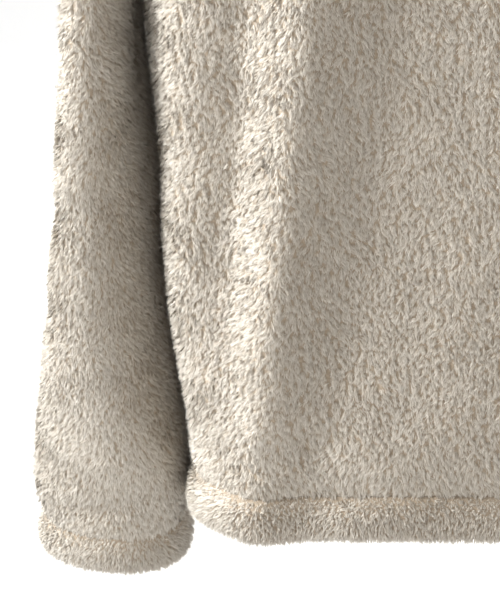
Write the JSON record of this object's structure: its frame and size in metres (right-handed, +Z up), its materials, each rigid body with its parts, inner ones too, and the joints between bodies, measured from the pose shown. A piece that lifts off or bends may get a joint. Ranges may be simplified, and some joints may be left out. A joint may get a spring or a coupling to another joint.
{
  "type": "fleece zip-up jacket",
  "caption": "A cream long-pile fleece jacket, zipped up the front, with a stand collar and long sleeves whose cuffs and hem are turned casings; hollow and open, as worn.",
  "frame": {"origin": "midway between the two neck points, where the shoulder seams meet the collar and the wearer's shoulders carry the jacket", "axes": "+Z is up, the front faces -Y and the wearer's left is +X"},
  "size_m": [0.6691, 0.2413, 0.7996],
  "materials": {
    "fleece": "long pile, matt",
    "zip_tape": "woven",
    "zip_teeth": "satin",
    "zip_metal": "satin"
  },
  "bodies": {
    "jacket": {"back": "fleece", "front_left": "fleece", "front_right": "fleece", "sleeve_left": "fleece", "sleeve_right": "fleece", "collar": "fleece", "hem_band": "fleece", "cuff_left": "fleece", "cuff_right": "fleece", "zip_tape_left": "zip_tape", "zip_tape_right": "zip_tape", "zip_chain": "zip_teeth", "zip_box": "zip_teeth", "zip_slider": "zip_metal", "zip_stop_left": "zip_metal", "zip_stop_right": "zip_metal"},
    "pull_tab": {"zip_pull": "zip_metal"}
  },
  "joints": [
    {"name": "pull_tab_hinge", "type": "hinge", "parent": "jacket", "child": "pull_tab", "pos_m": [0, -0.08514, -0.01227], "axis": [-1, 0, 0], "range_deg": [0, 150]}
  ]
}
